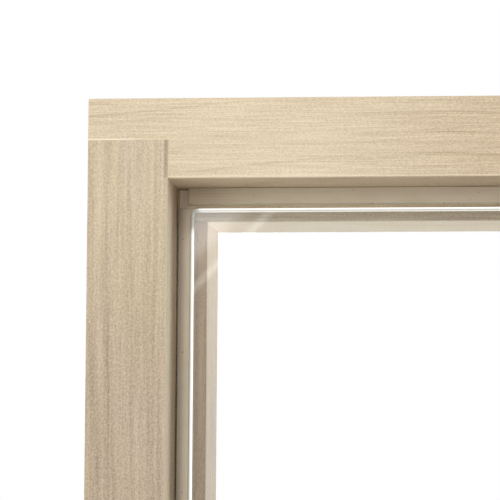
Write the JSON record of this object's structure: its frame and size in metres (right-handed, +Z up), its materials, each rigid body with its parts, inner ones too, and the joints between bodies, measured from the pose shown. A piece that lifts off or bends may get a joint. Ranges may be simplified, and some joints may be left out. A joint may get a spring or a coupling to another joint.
{
  "type": "glass sauna door",
  "caption": "Clear glass sauna door leaf hung on clamp hinges in the rebate of a light wooden frame, with seals, handle and magnetic catch.",
  "frame": {"origin": "on the outer side face of the hinge jamb, at mid-depth and floor level", "axes": "+X from the hinge side to the latch side, +Y from the front into the sauna, +Z up"},
  "size_m": [0.69, 0.119, 1.89],
  "materials": {
    "frame_wood": "planed, unfinished light aspen or alder",
    "threshold_wood": "planed, unfinished light wood",
    "handle_wood": "sanded light wood",
    "seal": "tan silicone, satin",
    "glass": "clear toughened, polished edges",
    "hinge_steel": "satin stainless steel",
    "screw_steel": "plain stainless steel",
    "pad_rubber": "black silicone rubber, matt",
    "catch_plastic": "brown moulded plastic",
    "magnet": "dark ferrite magnet"
  },
  "bodies": {
    "frame": {"head": "frame_wood", "hinge_jamb": "frame_wood", "latch_jamb": "frame_wood", "threshold": "threshold_wood", "head_seal": "seal", "hinge_jamb_seal": "seal", "latch_jamb_seal": "seal", "upper_hinge_frame_plate": "hinge_steel", "upper_hinge_pin": "hinge_steel", "upper_hinge_wood_screws": "screw_steel", "lower_hinge_frame_plate": "hinge_steel", "lower_hinge_pin": "hinge_steel", "lower_hinge_wood_screws": "screw_steel", "head_screws": "screw_steel", "threshold_screws": "screw_steel", "catch_body": "catch_plastic", "catch_magnet": "magnet"},
    "leaf": {"glass_pane": "glass", "outer_handle_grip": "handle_wood", "inner_handle_grip": "handle_wood", "outer_handle_posts": "handle_wood", "inner_handle_posts": "handle_wood", "handle_rods": "screw_steel", "handle_washers": "pad_rubber", "strike_plate": "hinge_steel", "strike_pad": "pad_rubber", "upper_hinge_leaf_plate": "hinge_steel", "upper_hinge_back_plate": "hinge_steel", "upper_hinge_front_pad": "pad_rubber", "upper_hinge_back_pad": "pad_rubber", "upper_hinge_clamp_bolts": "screw_steel", "lower_hinge_leaf_plate": "hinge_steel", "lower_hinge_back_plate": "hinge_steel", "lower_hinge_front_pad": "pad_rubber", "lower_hinge_back_pad": "pad_rubber", "lower_hinge_clamp_bolts": "screw_steel"}
  },
  "joints": [
    {"name": "door_swing", "type": "hinge", "parent": "frame", "child": "leaf", "pos_m": [0.054, -0.026, 0], "axis": [0, 0, -1], "range_deg": [0, 105]}
  ]
}
